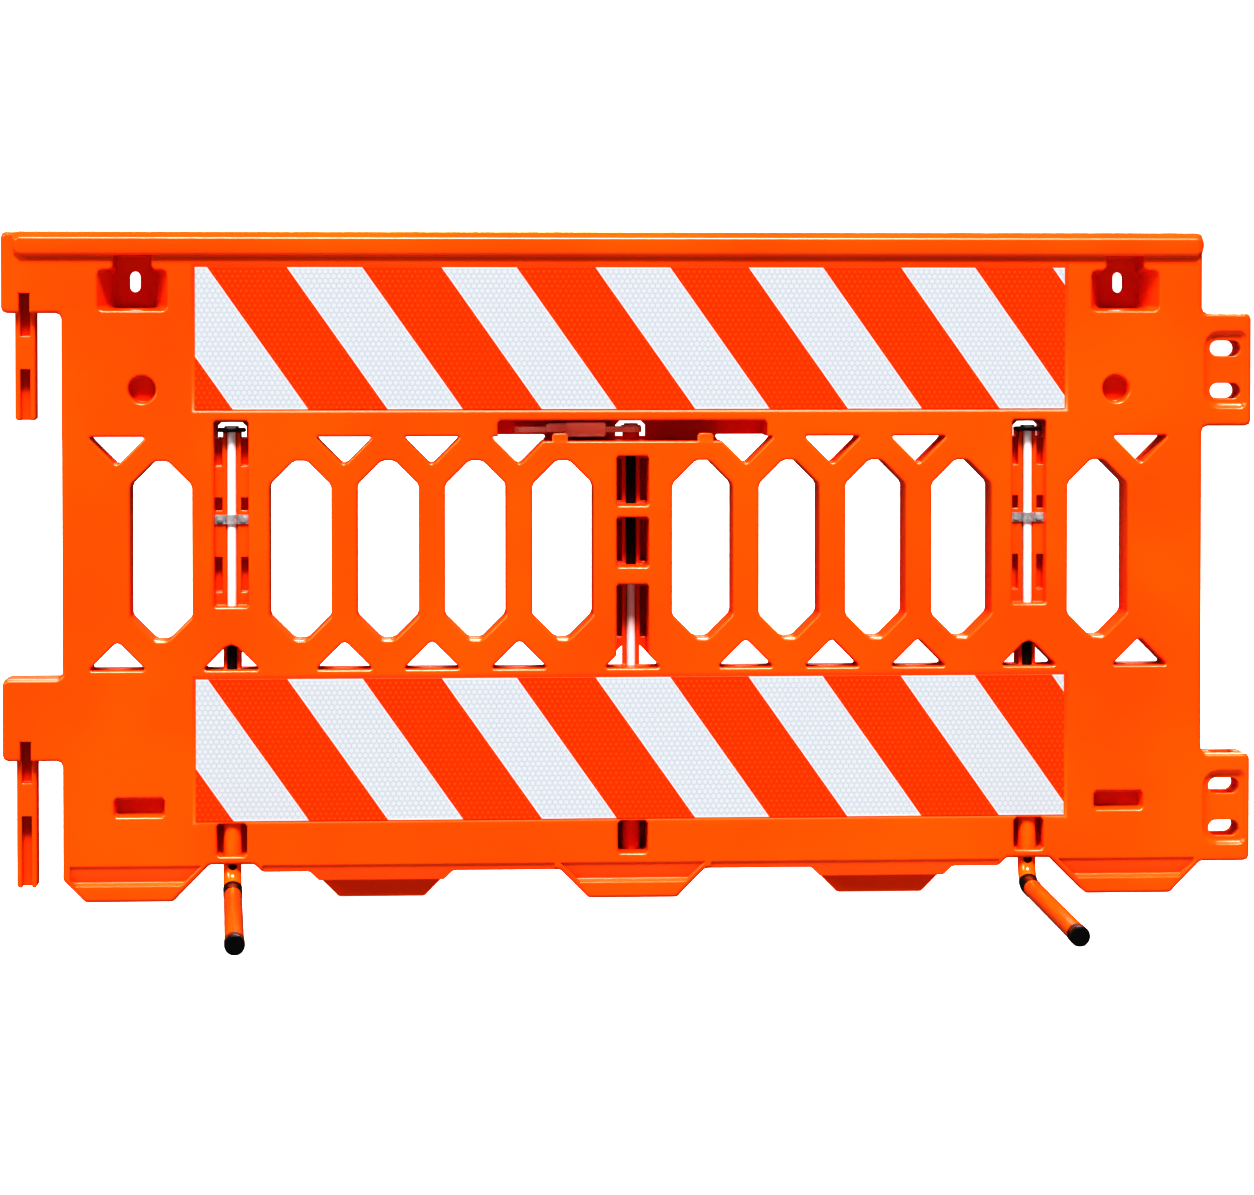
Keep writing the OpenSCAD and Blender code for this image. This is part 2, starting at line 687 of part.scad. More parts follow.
module dimples() {
    mouth = [for (s = mouth_stations(mouth_soft)) [dimple_d / 2 + s[1], s[0] - front]];
    floor_r = dimple_floor_d / 2;
    translate([dimple_x, front, dimple_z])
        rotate([-90, 0, 0])
        rotate_extrude()
        polygon(concat([[0, -over]], mouth, [[floor_r, dimple_depth], [0, dimple_depth]]));
    w = oblong_w / 2;
    h = oblong_h / 2;
    oblong = box_pts(oblong_x - w, oblong_x + w, oblong_z - h, oblong_z + h);
    loft(rounded(oblong, 4, 1), pocket_stations(front + dimple_depth, 3));
}

// The window in front of a rod from z0 to z1, and the deep pockets beside the rod
module rod_window(x, y, w, z0, z1, spans) {
    outline = box_pts(x - w / 2, x + w / 2, z0, z1);
    loft(rounded(outline, 3, 1), pocket_stations(y, 1));
    for (s = [-1, 1], span = spans)
        translate([x + s * (column_w + w) / 4, 0, 0])
            block([-(w - column_w) / 4 + 1, y - eps, span[0]],
                  [(w - column_w) / 4 - 1, y + side_pocket_d, span[1]]);
}

// The opening through the board from y on that holds the disc of a rod, with its upper corners bevelled
module head_opening(x, y, z0) {
    half = washer_d / 2 + washer_gap;
    z1 = head_z - head_drop;
    translate([x, rear + eps, 0])
        rotate([90, 0, 0])
        linear_extrude(rear + eps - y)
        polygon([[-half, z0], [half, z0], [half, z1 - head_bevel], [half - head_bevel, z1],
                 [head_bevel - half, z1], [-half, z1 - head_bevel]]);
}

module front_rod_window() {
    spans = [
        [rod_win_low + 0.075 * rod_win_h, rod_win_low + 0.264 * rod_win_h],
        [strap_z + strap_h / 2 + 6, rod_win_low + 0.585 * rod_win_h],
        [rod_win_low + 0.755 * rod_win_h, shelf_z - 9]
    ];
    column_half = column_w / 2;
    rod_window(leg_x, -rod_y, rod_win_w, rod_win_low, head_z, spans);
    difference() {
        head_opening(leg_x, -rod_y - eps, shelf_z - 8);
        block([leg_x - column_half, -rod_y - 2 * eps, shelf_z - 9],
              [leg_x + column_half, rear + 2 * eps, shelf_z]);
    }
    for (s = [-1, 1])
        translate([leg_x + s * screw_x, -rod_y - eps, strap_z])
            rotate([-90, 0, 0])
            cylinder(d = screw_d + 2 * fixed_gap, h = screw_l + eps);
}

module middle_rod_windows() {
    for (top = [mid_win_top, mid_win_top - mid_win_pitch])
        rod_window(0, rod_y, mid_win_w, top - mid_win_h, top, [[top - mid_win_h + 5, top - 5]]);
    rod_window(0, rod_y, mid_win_w, tri_low + 2 * eps, low_win_top, [[tri_low + tri_h, low_win_top - 5]]);
    head_opening(0, rear - bar_wall - eps, bar_floor + peg_h / 2);
}

// The long recess for the swing bar, with a boss under its eye and a stop peg to each side
module bar_recess() {
    outline = box_pts(-bar_recess_half, bar_recess_half, bar_floor, head_z);
    peg = box_pts(-peg_w / 2, peg_w / 2, bar_floor - 2 * mouth_soft, bar_floor + peg_h);
    difference() {
        loft(rounded(outline, 4, 1), pocket_stations(rear - bar_wall, 0));
        translate([0, rod_y, bar_floor - eps]) rotate([0, 0, 90]) cylinder(d = column_w, h = peg_h + eps);
        both_sides()
            translate([peg_x, 0, 0])
            loft(rounded(peg, 3, 1), [[front + 1, -1], [front + 2, 0], [front + peg_d, 0]]);
    }
}

// Bores for a rod and its leg tube, and the pocket that shows the tube
module leg_bores(x, y, top) {
    half_w = leg_pocket_w / 2;
    translate([x, y, -eps]) rotate([0, 0, 90]) cylinder(d = tube_d + 2 * swivel_gap, h = tube_top + 2 * eps);
    translate([x, y, -eps]) rotate([0, 0, 90]) cylinder(d = rod_d + 2 * swivel_gap, h = top);
    outline = box_pts(x - half_w, x + half_w, leg_pocket_z, leg_pocket_top);
    loft(rounded(outline, 4, 1), pocket_stations(y + tube_d / 2 + 4, 1));
}

// The groove along the front of a skirt, kept inside the skirt's own outline p
module skirt_groove(p) {
    top = groove_z + groove_rise;
    ledge = groove_z - groove_ledge;
    intersection() {
        rotate([90, 0, 90])
            linear_extrude(2 * right_half, center = true)
            polygon([[front - eps, top], [front + groove_step, top], [front + groove_d, groove_z],
                     [front, ledge], [front - eps, ledge]]);
        translate([0, front + groove_d + eps, 0])
            rotate([90, 0, 0])
            linear_extrude(groove_d + 2 * eps)
            polygon(p);
    }
}

// A skirt outline from x0 to x1 on the ground, drawn in from its slanted ends by inset
function skirt_outline(x0, x1, inset) =
    let (top = groove_z + groove_rise + eps)
    [[x0 + inset, 0], [x1 - inset, 0], [x1 - inset + top, top], [x0 + inset - top, top]];

// A corner skirt's outline from the notch to the bevelled side at x1, drawn in by inset
function corner_skirt(x1, foot, bevel, inset) =
    [[notch_out + notch_h + inset, 0], [foot - inset, 0], [x1 - inset, bevel],
     [x1 - inset, notch_h], [notch_out + inset, notch_h]];

module skirt_cuts() {
    inset = 10;
    mid = skirt_outline(-mid_foot, mid_foot, inset);
    back = box_pts(mid_foot + bottom_gap + corner_r, notch_in - notch_step, 0, notch_h);
    left_end = corner_skirt(left_half, left_half - left_bevel, left_bevel, inset);
    right_end = corner_skirt(right_half, right_half - lower_ear_z, lower_ear_z, inset);
    skirt_groove(mid);
    both_faces() {
        mirror([1, 0, 0]) skirt_groove(left_end);
        skirt_groove(right_end);
    }
    both_sides() {
        both_faces() skirt_groove(back);
        block([rear_foot_in - bottom_gap - 2, front - eps, -eps],
              [rear_foot_out + bottom_gap + 2, rear_set, groove_z + rest_gap]);
    }
    block([-mid_foot - bottom_gap - 4, 0, -eps], [mid_foot + bottom_gap + 4, rear + eps, bottom_gap + 2]);
}

module panel_body() {
    color(orange)
    difference() {
        union() {
            difference() {
                board();
                both_sides() lamp_pocket();
            }
            hand_rail();
            hinge_post(upper_seat, upper_post);
            hinge_post(lower_seat, lower_post);
        }
        windows();
        post_channel(upper_seat, upper_post);
        post_channel(lower_seat, lower_post);
        ear_cuts(upper_ear_z, upper_seat);
        ear_cuts(lower_ear_z, lower_seat);
        sheet_recess(upper_sheet_z);
        sheet_recess(lower_sheet_z);
        both_sides() {
            dimples();
            front_rod_window();
            leg_bores(leg_x, -rod_y, head_z);
        }
        middle_rod_windows();
        bar_recess();
        leg_bores(0, rod_y, head_z - eps);
        skirt_cuts();
    }
}

module white_sheet(z) {
    color(film_white)
    block([-sheet_w / 2, front + sheet_sink - film_t, z - sheet_h / 2],
          [sheet_w / 2, front + sheet_sink, z + sheet_h / 2]);
}

// Slanted stripes on a sheet, cut off at its ends
module stripes(z) {
    count = ceil(sheet_w / stripe_pitch) + 1;
    half_h = sheet_h / 2;
    color(stripe_orange)
    translate([0, front + sheet_sink - film_t, z])
    rotate([90, 0, 0])
    linear_extrude(overlay_t)
    intersection() {
        square([sheet_w, sheet_h], center = true);
        for (i = [-1:count])
            translate([-sheet_w / 2 + stripe_start + i * stripe_pitch, 0])
                polygon([[0, half_h], [stripe_run, -half_h],
                         [stripe_run + stripe_w, -half_h], [stripe_w, half_h]]);
    }
}

module at_left() {
    translate([-leg_x, -rod_y, 0]) rotate([0, 0, left_turn]) children();
}

module at_right() {
    translate([leg_x, -rod_y, 0]) rotate([0, 0, -right_turn]) children();
}

module at_centre() {
    translate([0, rod_y, 0]) rotate([0, 0, 180]) children();
}

module on_rear() {
    mirror([0, 1, 0]) children();
}

module cross_hole() {
    translate([0, 0, pin_z])
        rotate([0, 90, 0])
        cylinder(d = pin_d + 2 * fixed_gap, h = 2 * tube_d, center = true);
}

module pivot_rod(top) {
    color(zinc)
    difference() {
        translate([0, 0, plug_z]) cylinder(d = rod_d, h = top - plug_z);
        cross_hole();
    }
}

// The path of a leg tube as a solid round bar of diameter d, lengthened by extra at both ends
module bent_bar(d, reach, extra) {
    run = reach - cap_end - bend_r;
    translate([0, 0, axis_z + bend_r]) cylinder(d = d, h = tube_top - axis_z - bend_r + extra);
    translate([0, -bend_r, axis_z + bend_r])
        rotate([-90, 0, 90])
        rotate_extrude(angle = 90)
        translate([bend_r, 0]) circle(d = d);
    translate([0, -bend_r, axis_z]) rotate([90, 0, 0]) cylinder(d = d, h = run + extra);
}

module leg_tube(reach) {
    color(orange)
    difference() {
        bent_bar(tube_d, reach, 0);
        bent_bar(tube_d - 2 * tube_wall, reach, eps);
        cross_hole();
        translate([0, 0, axis_z + bend_r + peep_d / 4])
            rotate([90, 0, 0])
            cylinder(d = peep_d, h = tube_d);
    }
}

// The sleeve over the last part of the bend and the start of the straight run
module leg_sleeve() {
    inner = tube_d + 2 * fixed_gap;
    reach = bend_r + sleeve_l + tube_d;
    centre = [-bend_r, axis_z + bend_r];
    cut = centre + 2 * bend_r * [sin(sleeve_angle), -cos(sleeve_angle)];
    end = -bend_r - sleeve_l;
    color(black)
    intersection() {
        difference() {
            bent_bar(inner + 2 * sleeve_t, reach, 0);
            bent_bar(inner, reach, eps);
        }
        rotate([90, 0, 90])
            linear_extrude(2 * tube_d, center = true)
            polygon([centre, [end, centre[1]], [end, cut[1]], cut]);
    }
}

module rod_plug() {
    color(zinc)
    difference() {
        translate([0, 0, plug_z]) cylinder(d = tube_d - 2 * tube_wall - 2 * fixed_gap, h = plug_l);
        translate([0, 0, plug_z - eps]) cylinder(d = rod_d + 2 * fixed_gap, h = plug_l + 2 * eps);
        cross_hole();
    }
}

module cross_pin() {
    color(zinc)
    translate([0, 0, pin_z])
    rotate([0, 90, 0])
    cylinder(d = pin_d, h = tube_d - eps, center = true);
}

module leg_cap(reach) {
    r = cap_d / 2;
    bore = tube_d / 2 + fixed_gap;
    color(black)
    translate([0, -reach, axis_z])
    rotate([-90, 0, 0])
    rotate_extrude()
    polygon([[0, 0], [r - 2.5, 0], [r - 0.7, 0.7], [r, 2.5], [r, cap_l],
             [bore, cap_l], [bore, cap_end], [0, cap_end]]);
}

// A round plate with a bore for the rod, and its edges eased
module round_plate(d, t, z) {
    r = d / 2;
    bore = rod_d / 2 + fixed_gap;
    soft = t / 4;
    translate([0, 0, z])
        rotate_extrude()
        polygon([[bore, 0], [r - soft, 0], [r, soft], [r, t - soft], [r - soft, t], [bore, t]]);
}

// The disc that carries a front rod on its column
module rod_disc() {
    color(black) round_plate(washer_d, washer_t, side_washer_z);
}

// The thin washer that keeps the swing bar on the middle rod
module thin_washer() {
    color(zinc) round_plate(mid_washer_d, mid_washer_t, mid_washer_z);
}

module top_nut(z) {
    color(zinc)
    difference() {
        translate([0, 0, z]) cylinder(d = nut_d, h = nut_h, $fn = 6);
        translate([0, 0, z - eps]) cylinder(d = rod_d + 2 * fixed_gap, h = nut_h + 2 * eps);
    }
}

// A strap over a front rod, with its feet on the window's floor
module rod_strap(x) {
    inner = rod_d / 2 + swivel_gap;
    outer = inner + strap_t;
    foot = rod_win_w / 2 - 1;
    color(zinc)
    translate([x, -rod_y, strap_z])
    difference() {
        linear_extrude(strap_h, center = true)
        difference() {
            union() {
                circle(r = outer);
                translate([-foot, -strap_t]) square([2 * foot, strap_t]);
            }
            circle(r = inner);
            translate([-foot, 0]) square([2 * foot, 2 * outer]);
        }
        for (s = [-1, 1])
            translate([s * screw_x, eps, 0])
                rotate([90, 0, 0])
                cylinder(d = screw_d + 2 * fixed_gap, h = 2 * strap_t);
    }
}

module strap_screws(x) {
    head_d = 2.1 * screw_d;
    head_h = 0.6 * screw_d;
    color(zinc)
    for (s = [-1, 1])
        translate([x + s * screw_x, -rod_y - strap_t - head_h, strap_z])
            rotate([-90, 0, 0])
            union() {
                cylinder(d = head_d, h = head_h);
                cylinder(d = screw_d, h = screw_l + strap_t - eps);
            }
}

// The swing bar at rest along its recess, towards the left
module swing_bar() {
    color(zinc)
    translate([0, rod_y, bar_z])
    difference() {
        linear_extrude(bar_t)
        union() {
            circle(d = eye_d);
            translate([bar_w / 2 - bar_l, -bar_w / 2]) square([bar_l - bar_w / 2, bar_w]);
            translate([bar_w / 2 - bar_l, 0]) circle(d = bar_w);
        }
        translate([0, 0, -eps]) cylinder(d = rod_d + 2 * swivel_gap, h = bar_t + 2 * eps);
    }
}

module bar_grip() {
    low = bar_z - grip_t;
    high = bar_z + bar_t + grip_t;
    step = bar_z + rest_gap;
    x1 = -grip_in;
    x2 = -grip_out;
    x3 = x2 - grip_tail;
    color(black)
    translate([0, rod_y, 0])
    difference() {
        union() {
            loft(rounded(box_pts(x2, x1, low, high), 2.5, 1), solid_stations(-grip_w / 2, grip_w / 2, 2.5));
            loft(rounded(box_pts(x3, x2 + 6, step, high - eps), 2.5, 1),
                 solid_stations(eps - grip_w / 2, grip_w / 2 - eps, 2.5));
        }
        block([x3 - eps, -bar_w / 2 - fixed_gap, bar_z - fixed_gap],
              [x1 + eps, bar_w / 2 + fixed_gap, bar_z + bar_t + fixed_gap]);
    }
}

panel_body();
white_sheet(upper_sheet_z);  // front_upper_sheet
stripes(upper_sheet_z);  // front_upper_stripes
white_sheet(lower_sheet_z);  // front_lower_sheet
stripes(lower_sheet_z);  // front_lower_stripes
on_rear() white_sheet(upper_sheet_z);  // rear_upper_sheet
on_rear() stripes(upper_sheet_z);  // rear_upper_stripes
on_rear() white_sheet(lower_sheet_z);  // rear_lower_sheet
on_rear() stripes(lower_sheet_z);  // rear_lower_stripes
at_left() pivot_rod(side_rod_top);  // left_pivot_rod
at_left() leg_tube(front_reach);  // left_leg_tube
at_left() leg_sleeve();  // left_leg_sleeve
at_left() rod_plug();  // left_rod_plug
at_left() cross_pin();  // left_cross_pin
at_left() leg_cap(front_reach);  // left_leg_cap
at_left() rod_disc();  // left_top_washer
at_left() top_nut(side_nut_z);  // left_top_nut
rod_strap(-leg_x);  // left_rod_strap
strap_screws(-leg_x);  // left_strap_screws
at_right() pivot_rod(side_rod_top);  // right_pivot_rod
at_right() leg_tube(front_reach);  // right_leg_tube
at_right() leg_sleeve();  // right_leg_sleeve
at_right() rod_plug();  // right_rod_plug
at_right() cross_pin();  // right_cross_pin
at_right() leg_cap(front_reach);  // right_leg_cap
at_right() rod_disc();  // right_top_washer
at_right() top_nut(side_nut_z);  // right_top_nut
rod_strap(leg_x);  // right_rod_strap
strap_screws(leg_x);  // right_strap_screws
at_centre() pivot_rod(mid_rod_top);  // centre_pivot_rod
at_centre() leg_tube(rear_reach);  // centre_leg_tube
at_centre() leg_sleeve();  // centre_leg_sleeve
at_centre() rod_plug();  // centre_rod_plug
at_centre() cross_pin();  // centre_cross_pin
at_centre() leg_cap(rear_reach);  // centre_leg_cap
at_centre() thin_washer();  // centre_top_washer
at_centre() top_nut(mid_nut_z);  // centre_top_nut
swing_bar();
bar_grip();
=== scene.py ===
# %% [markdown]
# # A pedestrian barrier panel
# The object is a bright orange plastic board that keeps walkers out of road works. It stands on
# three tube legs that swivel on steel rods, carries striped reflective sheeting on both faces,
# and links to its neighbours with posts on the left and ears on the right.
# The CAD model already has every solid in its place, so this lesson loads it as a fixed frame
# and spends its effort on edges, finishes, light and camera.

# %% Load the CAD frame
import math

import bmesh
import bpy
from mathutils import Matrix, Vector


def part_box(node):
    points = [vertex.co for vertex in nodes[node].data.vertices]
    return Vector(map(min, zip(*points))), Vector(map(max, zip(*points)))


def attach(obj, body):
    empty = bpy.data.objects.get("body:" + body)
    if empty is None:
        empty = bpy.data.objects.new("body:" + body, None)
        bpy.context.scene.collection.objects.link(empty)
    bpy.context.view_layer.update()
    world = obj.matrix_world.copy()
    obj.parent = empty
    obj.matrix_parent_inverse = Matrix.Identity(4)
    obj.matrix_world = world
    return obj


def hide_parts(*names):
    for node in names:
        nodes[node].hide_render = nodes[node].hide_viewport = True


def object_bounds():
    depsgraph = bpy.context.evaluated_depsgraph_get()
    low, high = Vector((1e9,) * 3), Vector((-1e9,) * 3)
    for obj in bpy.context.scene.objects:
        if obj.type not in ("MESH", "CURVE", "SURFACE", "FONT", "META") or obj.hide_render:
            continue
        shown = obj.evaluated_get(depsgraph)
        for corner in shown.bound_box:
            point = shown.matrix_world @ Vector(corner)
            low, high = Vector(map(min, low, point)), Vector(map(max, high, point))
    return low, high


MM = 0.001
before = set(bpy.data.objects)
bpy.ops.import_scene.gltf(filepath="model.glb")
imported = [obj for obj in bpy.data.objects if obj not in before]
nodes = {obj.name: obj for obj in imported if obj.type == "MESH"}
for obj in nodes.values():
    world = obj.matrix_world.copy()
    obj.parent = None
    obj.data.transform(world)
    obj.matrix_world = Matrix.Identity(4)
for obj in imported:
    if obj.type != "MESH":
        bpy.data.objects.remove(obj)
cad_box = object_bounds()

# %% [markdown]
# ## Camera
# The photograph looks at the panel from a little left of its middle and about as high as the rail,
# through a long lens. The upright edges stay parallel, as they do when a photographer keeps the
# camera nearly level and slides the lens down, so the lower part of the frame comes from the
# camera's vertical shift. The place was found by matching window corners, the board's corners and
# the leg tips between the CAD model and the photograph.

# %% Camera at the photograph's viewpoint
IMAGE_W = 1254
FOCAL_PX = 3645
LENS_DROP_PX = 200
SENSOR_MM = 36
CAMERA_PLACE = (-0.317, -5.123, 0.808)
LOOK_DOWN_DEG = 1.19
TURN_RIGHT_DEG = 3.47

camera_data = bpy.data.cameras.new("photo_camera")
camera_data.sensor_fit = "HORIZONTAL"
camera_data.sensor_width = SENSOR_MM
camera_data.lens = FOCAL_PX / IMAGE_W * SENSOR_MM
camera_data.shift_y = -LENS_DROP_PX / IMAGE_W
camera = bpy.data.objects.new("photo_camera", camera_data)
camera.location = CAMERA_PLACE
camera.rotation_euler = (math.radians(90 - LOOK_DOWN_DEG), 0, math.radians(-TURN_RIGHT_DEG))
bpy.context.scene.collection.objects.link(camera)
bpy.context.scene.camera = camera
print(f"lens {camera_data.lens:.1f} mm, shift {camera_data.shift_y:.3f}")

# %% [markdown]
# ## Nodes and colours
# Three helpers serve every finish. The first turns an sRGB hex value, as a paint chart gives it,
# into the linear numbers that Blender computes with. The second adds one shader node, sets it up
# and links it, so a material reads as a short list of nodes from top to bottom. The third starts a
# material and sets the numbers that are the same all over its surface.

# %% Helpers for materials
def linear(hex_value):
    """Linear RGBA of an sRGB colour such as '#ff5500'."""
    parts = [int(hex_value[i:i + 2], 16) / 255 for i in (1, 3, 5)]
    return [c / 12.92 if c <= 0.04045 else ((c + 0.055) / 1.055) ** 2.4 for c in parts] + [1.0]


def add_node(tree, kind, settings, inputs):
    """One node with its settings; each input is a value or another node's output."""
    node = tree.nodes.new("ShaderNode" + kind)
    for name, value in settings.items():
        setattr(node, name, value)
    for key, value in inputs.items():
        if isinstance(value, bpy.types.NodeSocket):
            tree.links.new(value, node.inputs[key])
        else:
            node.inputs[key].default_value = value
    return node


def new_finish(name, **sockets):
    """A material with a Principled shader whose uniform sockets are set directly."""
    material = bpy.data.materials.new(name)
    material.use_nodes = True
    shader = material.node_tree.nodes["Principled BSDF"]
    for key, value in sockets.items():
        shader.inputs[key.replace("_", " ")].default_value = value
    return material, material.node_tree, shader


print("panel orange in linear light:", [round(c, 3) for c in linear("#ff5500")])

# %% [markdown]
# ## Moulded polyethylene
# The board is polyethylene, moulded in one piece with its pigment all through. The mould leaves a
# fine satin grain, a slow waviness where the wall cooled, and a thin parting line round the middle
# of its edge. The grain is a small bump, the waviness a long one, and the parting line a narrow
# ridge at the middle plane. Under these bumps a bevel node rounds every edge in the shading, so
# the light draws a thin bright line along each ledge, as it does on a real moulding.

# %% Finish of the board
GRAIN_MM = 2.5
WAVE_MM = 260
PARTING_MM = 0.9
EDGE_ROUND_MM = 3.5

board_finish, tree, shader = new_finish(
    "moulded_polyethylene_orange", IOR=1.54, Roughness=0.26, Specular_IOR_Level=0.35)
place = add_node(tree, "TexCoord", {}, {}).outputs["Object"]
cooling = add_node(tree, "TexNoise", {}, {
    "Vector": place, "Scale": 1 / (WAVE_MM * MM), "Detail": 2.0})
tint = add_node(tree, "ValToRGB", {}, {"Fac": cooling.outputs["Fac"]})
tint.color_ramp.elements[0].position = 0.35
tint.color_ramp.elements[0].color = linear("#e24e02")
tint.color_ramp.elements[1].position = 0.65
tint.color_ramp.elements[1].color = linear("#e85602")
tree.links.new(tint.outputs["Color"], shader.inputs["Base Color"])
# The real grain is under a millimetre, too fine for the picture, so it is drawn three times coarser
grain = add_node(tree, "TexNoise", {}, {
    "Vector": place, "Scale": 1 / (GRAIN_MM * MM), "Detail": 1.0})
soft_edge = add_node(tree, "Bevel", {"samples": 8}, {"Radius": EDGE_ROUND_MM * MM})
grain_bump = add_node(tree, "Bump", {}, {
    "Height": grain.outputs["Fac"], "Strength": 0.06, "Distance": 0.4 * MM,
    "Normal": soft_edge.outputs["Normal"]})
wave_bump = add_node(tree, "Bump", {}, {
    "Height": cooling.outputs["Fac"], "Strength": 0.25, "Distance": 1.2 * MM,
    "Normal": grain_bump.outputs["Normal"]})
depth = add_node(tree, "SeparateXYZ", {}, {"Vector": place}).outputs["Y"]
from_middle = add_node(tree, "Math", {"operation": "ABSOLUTE"}, {0: depth}).outputs[0]
parting = add_node(tree, "MapRange", {"interpolation_type": "SMOOTHSTEP"}, {
    "Value": from_middle, "From Min": 0.0, "From Max": PARTING_MM * MM,
    "To Min": 1.0, "To Max": 0.0})
ridge_bump = add_node(tree, "Bump", {}, {
    "Height": parting.outputs["Result"], "Strength": 0.5, "Distance": 0.5 * MM,
    "Normal": wave_bump.outputs["Normal"]})
tree.links.new(ridge_bump.outputs["Normal"], shader.inputs["Normal"])
print(board_finish.name, "with", len(tree.nodes), "nodes")

# %% [markdown]
# ## The board's soft edges
# A moulding has no sharp edge. The CAD solid rounds its main edges in flat steps, so a copy of its
# mesh is cleaned of needless edges and its normals are weighted by face area. Large faces then stay
# flat and the steps between them blend into a round. The last hard corners get a bevel, which
# Blender keeps as narrow as the mesh's shortest edges allow. A wide bevel on every edge would be
# another way, but it would change the board's sizes and tear the narrow walls beside the rods.

# %% A soft-edged copy of the board
# Edges that bend by an angle in this range are borders between faces, and stay sharp
BORDER_DEG = (25, 28)


def soft_copy(name, node_name, bevel_mm, smooth_deg):
    """A welded copy of a CAD node with a narrow bevel on hard corners and area-weighted normals."""
    mesh = nodes[node_name].data.copy()
    mesh.name = name
    shape = bmesh.new()
    shape.from_mesh(mesh)
    bmesh.ops.remove_doubles(shape, verts=shape.verts, dist=0.01 * MM)
    bmesh.ops.dissolve_limit(
        shape, angle_limit=math.radians(0.5), verts=shape.verts, edges=shape.edges)
    for face in shape.faces:
        face.smooth = True
    for edge in shape.edges:
        bend = math.degrees(edge.calc_face_angle(0))
        edge.smooth = bend < BORDER_DEG[0] or BORDER_DEG[1] < bend < smooth_deg
    shape.to_mesh(mesh)
    shape.free()
    mesh.normals_split_custom_set([(0, 0, 0)] * len(mesh.loops))
    piece = bpy.data.objects.new(name, mesh)
    bpy.context.scene.collection.objects.link(piece)
    bevel = piece.modifiers.new("soft_corners", "BEVEL")
    bevel.width = bevel_mm * MM
    bevel.segments = 2
    bevel.limit_method = "ANGLE"
    bevel.angle_limit = math.radians(smooth_deg)
    bevel.harden_normals = False
    weighted = piece.modifiers.new("flat_faces", "WEIGHTED_NORMAL")
    weighted.keep_sharp = True
    return piece


board = soft_copy("moulded_board", "panel_body", bevel_mm=0.8, smooth_deg=50)
board.data.materials.clear()
board.data.materials.append(board_finish)
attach(board, "panel")
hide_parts("panel_body")
print("board copy:", len(board.data.polygons), "faces from", len(nodes["panel_body"].data.polygons))

# %% [markdown]
# ## Reflective sheeting
# The sheeting is a clear plastic film with tiny prisms moulded into its back. A honeycomb of fine
# seams holds it to its backing, so the white film shows pale cells with greyer walls, and the
# orange overlay shows the same cells faintly. The cells are drawn with a few vector nodes: two
# shifted grids of points, of which each place takes the nearer one.

# %% Honeycomb pattern
CELL_MM = 7.8
GRID = (1.0, 1.0, math.sqrt(3))


def honeycomb(tree, place):
    """Distance from a cell's wall over the panel's face, 0 at the wall and 0.5 in the middle."""
    cells = add_node(tree, "VectorMath", {"operation": "SCALE"}, {
        0: place, "Scale": 1 / (CELL_MM * MM)})
    half = [g / 2 for g in GRID]
    offsets = []
    for shift in ((0, 0, 0), half):
        moved = add_node(tree, "VectorMath", {"operation": "ADD"}, {0: cells.outputs[0], 1: shift})
        wrapped = add_node(tree, "VectorMath", {"operation": "WRAP"}, {
            0: moved.outputs[0], 1: half, 2: [-h for h in half]})
        offsets.append(add_node(tree, "VectorMath", {"operation": "MULTIPLY"}, {
            0: wrapped.outputs[0], 1: (1, 0, 1)}).outputs[0])
    lengths = [add_node(tree, "VectorMath", {"operation": "LENGTH"}, {0: offset}).outputs["Value"]
               for offset in offsets]
    nearer = add_node(tree, "Math", {"operation": "LESS_THAN"}, {0: lengths[0], 1: lengths[1]})
    own = add_node(tree, "Mix", {"data_type": "VECTOR"}, {
        "Factor": nearer.outputs[0], 4: offsets[1], 5: offsets[0]})
    own = add_node(tree, "VectorMath", {"operation": "ABSOLUTE"}, {0: own.outputs[1]})
    slanted = add_node(tree, "VectorMath", {"operation": "DOT_PRODUCT"}, {
        0: own.outputs[0], 1: (0.5, 0, math.sqrt(3) / 2)})
    across = add_node(tree, "SeparateXYZ", {}, {0: own.outputs[0]})
    reach = add_node(tree, "Math", {"operation": "MAXIMUM"}, {
        0: across.outputs["X"], 1: slanted.outputs["Value"]})
    inside = add_node(tree, "Math", {"operation": "SUBTRACT"}, {0: 0.5, 1: reach.outputs[0]})
    return inside.outputs[0]


print(f"cells {CELL_MM} mm across")

# %% [markdown]
# ## White film
# Between the orange stripes the film is left white. Its cells are pale and the seams between them
# slightly greyer and bluer, because a seam has no prisms to send the light back. A plain bright
# border about two millimetres wide runs round every white stripe, where the overlay is sealed
# down. The stripe sizes repeat those of the CAD model.

# %% Finish of the white film
STRIPE_PITCH_MM = 215
STRIPE_W_MM = 110
STRIPE_RUN_MM = 140
STRIPE_START_MM = 17
SEAL_MM = 2.2

sheet_low, sheet_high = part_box("front_upper_sheet")
lower_low, lower_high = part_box("front_lower_sheet")
sheet_h = sheet_high.z - sheet_low.z
row_middles = ((sheet_low.z + sheet_high.z) / 2, (lower_low.z + lower_high.z) / 2)

white_film, tree, shader = new_finish(
    "prismatic_film_white", IOR=1.49, Roughness=0.3, Specular_IOR_Level=0.5)
place = add_node(tree, "TexCoord", {}, {}).outputs["Object"]
wall = honeycomb(tree, place)
cell = add_node(tree, "MapRange", {"interpolation_type": "SMOOTHSTEP"}, {
    "Value": wall, "From Min": 0.05, "From Max": 0.2})
axes = add_node(tree, "SeparateXYZ", {}, {"Vector": place})
